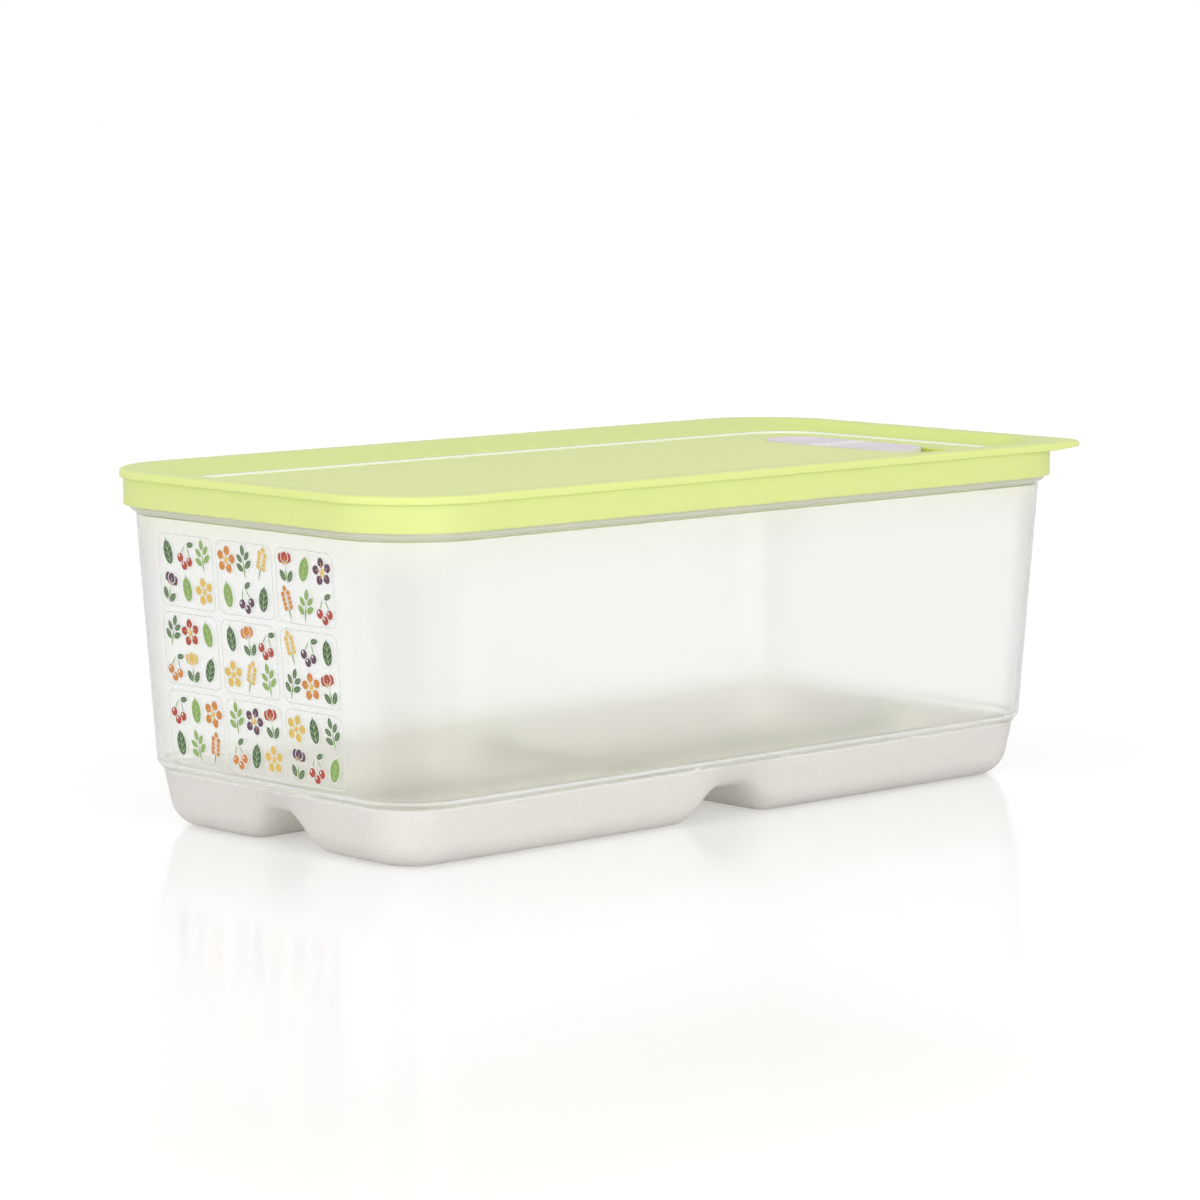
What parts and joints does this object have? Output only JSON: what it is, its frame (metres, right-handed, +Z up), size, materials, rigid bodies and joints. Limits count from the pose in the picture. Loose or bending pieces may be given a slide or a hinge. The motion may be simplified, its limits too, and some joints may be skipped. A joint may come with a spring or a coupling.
{
  "type": "produce storage container",
  "caption": "Clear tapered produce keeper on corner feet, with a press-on lid that has a sunk panel, a corner pull tab and a sliding air vent.",
  "frame": {"origin": "on the floor, under the middle of the container and at the centre of its bounding box in X and Y", "axes": "+X along the length towards the vent end, +Y across the width away from the tab's long side, +Z up through the lid"},
  "size_m": [0.3678, 0.1848, 0.1357],
  "materials": {
    "clear_polypropylene": "translucent, polished wall, frosted below the step",
    "lime_polyethylene": "satin",
    "lilac_polypropylene": "satin"
  },
  "bodies": {
    "container": {"container": "clear_polypropylene"},
    "lid": {"lid": "lime_polyethylene"},
    "vent_slider": {"vent_slider": "lilac_polypropylene"}
  },
  "joints": [
    {"name": "lid_lift", "type": "slide", "parent": "container", "child": "lid", "axis": [0, 0, 1], "range_m": [0, 0.05]},
    {"name": "vent_slide", "type": "slide", "parent": "lid", "child": "vent_slider", "axis": [0, -1, 0], "range_m": [0, 0.015]}
  ]
}
